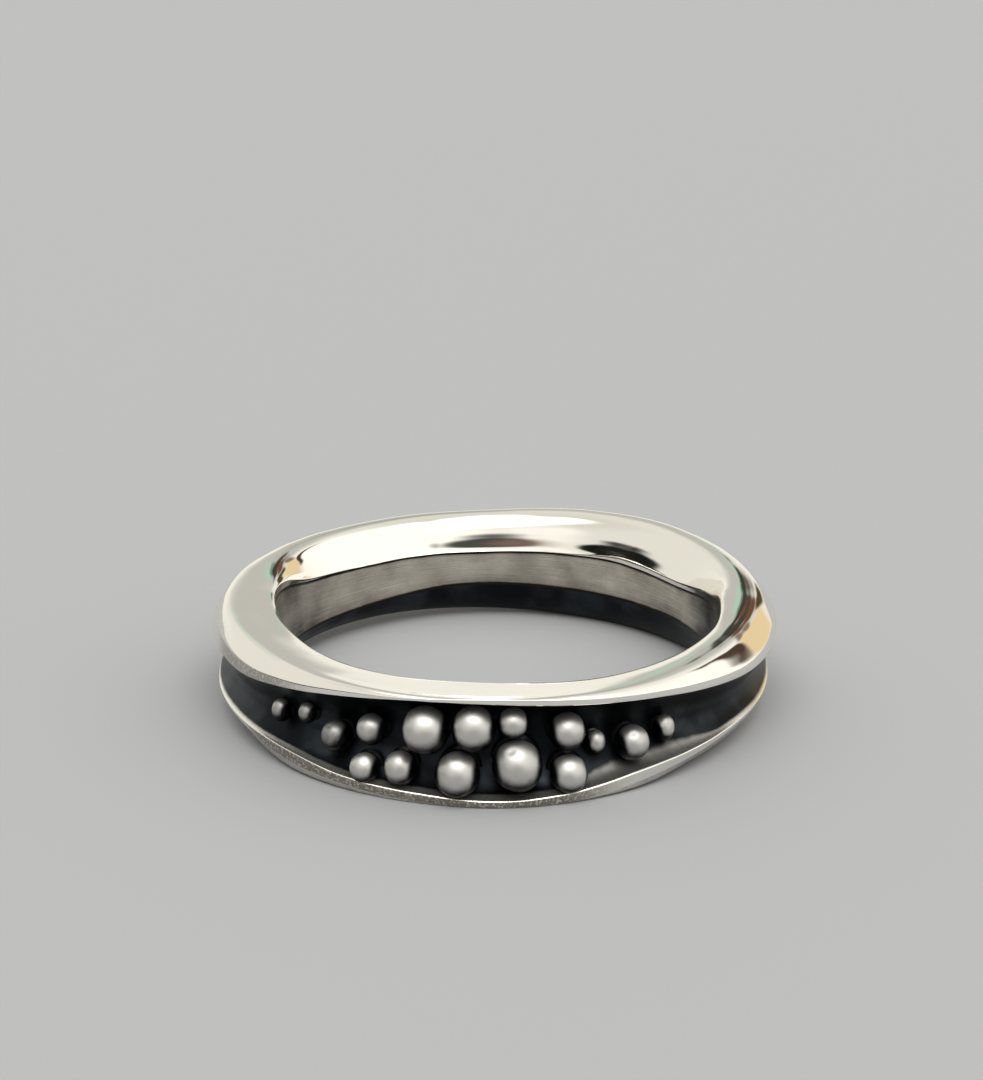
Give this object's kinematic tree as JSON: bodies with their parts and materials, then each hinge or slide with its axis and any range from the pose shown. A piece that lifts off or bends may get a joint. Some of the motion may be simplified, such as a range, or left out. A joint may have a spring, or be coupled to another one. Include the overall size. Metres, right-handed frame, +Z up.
{
  "type": "freeform ring",
  "caption": "Polished silver band ring lying flat, domed and closed at the back, opening at the front into a blackened concave channel with fused satin granules between two thin flared rims",
  "frame": {"origin": "on the finger hole's axis, at the level of the table that the ring lies on", "axes": "+Z up along the finger hole's axis, -Y towards the granule front that faces the viewer, +X to the viewer's right"},
  "size_m": [0.0224, 0.023, 0.0048],
  "materials": {
    "sterling_silver": "mirror polished outside, satin sleeve and granules, sulphur-blackened channel"
  },
  "bodies": {
    "root": {"ring_body": "sterling_silver"}
  },
  "joints": []
}
